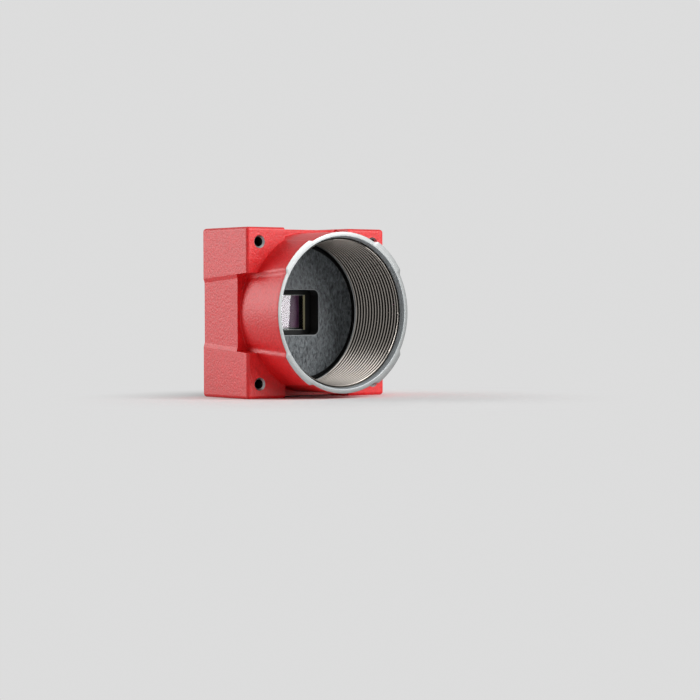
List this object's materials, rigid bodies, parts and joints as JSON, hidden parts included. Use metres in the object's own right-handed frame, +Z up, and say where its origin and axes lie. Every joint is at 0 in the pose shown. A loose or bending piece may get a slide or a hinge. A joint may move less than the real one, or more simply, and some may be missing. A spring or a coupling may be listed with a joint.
{
  "type": "machine vision camera",
  "caption": "Compact cube-shaped machine vision camera with a short C-mount barrel, an open lens port and data and trigger sockets at the back.",
  "frame": {"origin": "centre of the lens flange, the machined rim of the barrel, on the optical axis", "axes": "+Y back along the optical axis away from the lens, +X to the right seen from the front, +Z up"},
  "size_m": [0.029, 0.0247, 0.029],
  "materials": {
    "red_coat": "fine-grained red powder coat on a zinc casting",
    "plate_coat": "dark wrinkle coat",
    "screw_steel": "zinc-plated steel",
    "seal_foam": "black foam rubber",
    "thermal_foam": "soft grey silicone",
    "lid_glass": "clear coated glass",
    "ceramic": "black ceramic",
    "silicon": "purple image sensor",
    "gold": "gold plate",
    "board_green": "solder mask on glass fibre",
    "chip_black": "moulded epoxy",
    "capacitor_tan": "ceramic",
    "crystal_can": "nickel-plated can",
    "connector_black": "black moulded nylon",
    "socket_shell": "formed stainless sheet",
    "cover_black": "black anodised, bead-blasted",
    "lamp_lens": "clear acrylic"
  },
  "bodies": {
    "root": {"front_housing": "red_coat", "aperture_plate": "plate_coat", "board_screws": "screw_steel", "rear_cover_screws": "screw_steel", "board_spacers": "screw_steel", "sensor_seal": "seal_foam", "rear_gasket": "seal_foam", "thermal_pad": "thermal_foam", "sensor_lid_glass": "lid_glass", "sensor_package": "ceramic", "sensor_die": "silicon", "bond_pads": "gold", "usb_contacts": "gold", "io_pins": "gold", "sensor_board": "board_green", "main_board": "board_green", "processor": "chip_black", "memory_chip": "chip_black", "power_inductors": "chip_black", "sensor_board_capacitors": "capacitor_tan", "main_board_capacitors": "capacitor_tan", "clock_crystal": "crystal_can", "board_header": "connector_black", "board_socket": "connector_black", "usb_insulator": "connector_black", "io_shroud": "connector_black", "usb_shell": "socket_shell", "rear_cover": "cover_black", "light_pipe": "lamp_lens", "status_led": "lamp_lens"}
  },
  "joints": []
}
